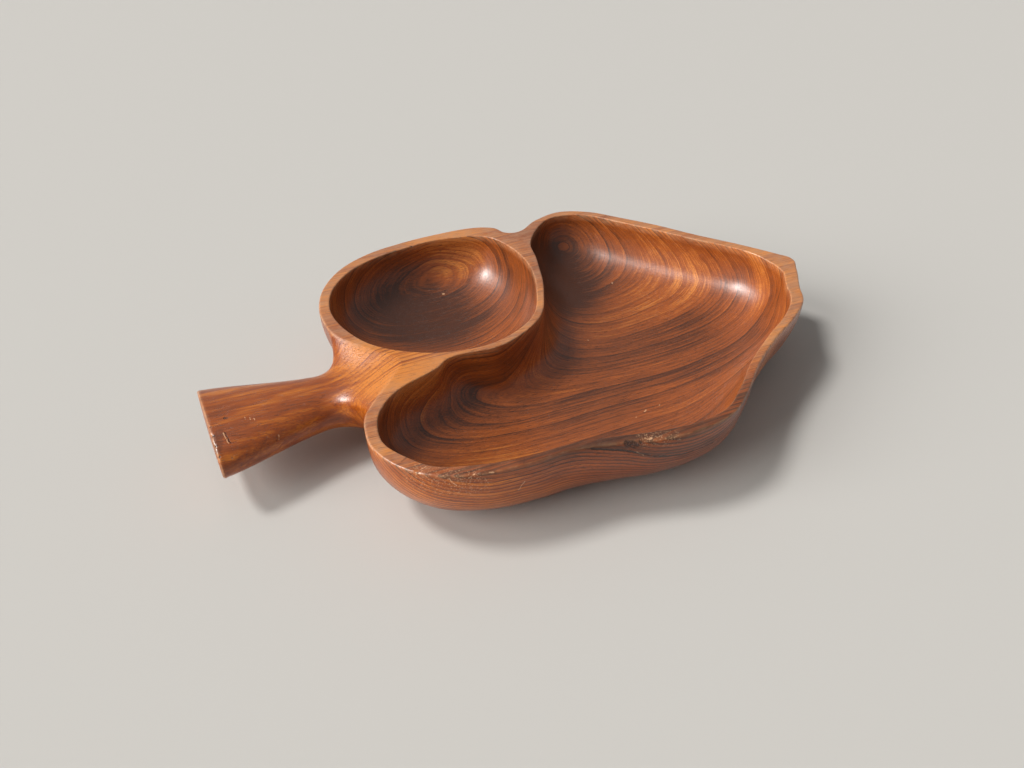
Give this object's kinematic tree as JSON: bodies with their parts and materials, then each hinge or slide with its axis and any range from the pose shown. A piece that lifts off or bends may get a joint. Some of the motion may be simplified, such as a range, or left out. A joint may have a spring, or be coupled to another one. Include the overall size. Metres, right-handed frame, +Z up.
{
  "type": "serving dish",
  "caption": "Leaf-shaped wooden serving dish with a round hollow and a large curved hollow parted by a ridge, and a flared stem handle.",
  "frame": {"origin": "on the table, under the middle of the dish's length and width", "axes": "+X from the stem handle to the leaf's tip, +Y towards the round hollow's side, +Z up"},
  "size_m": [0.4034, 0.2658, 0.05],
  "materials": {
    "wood": "oiled hardwood, satin, with dark growth layers"
  },
  "bodies": {
    "root": {"dish": "wood"}
  },
  "joints": []
}
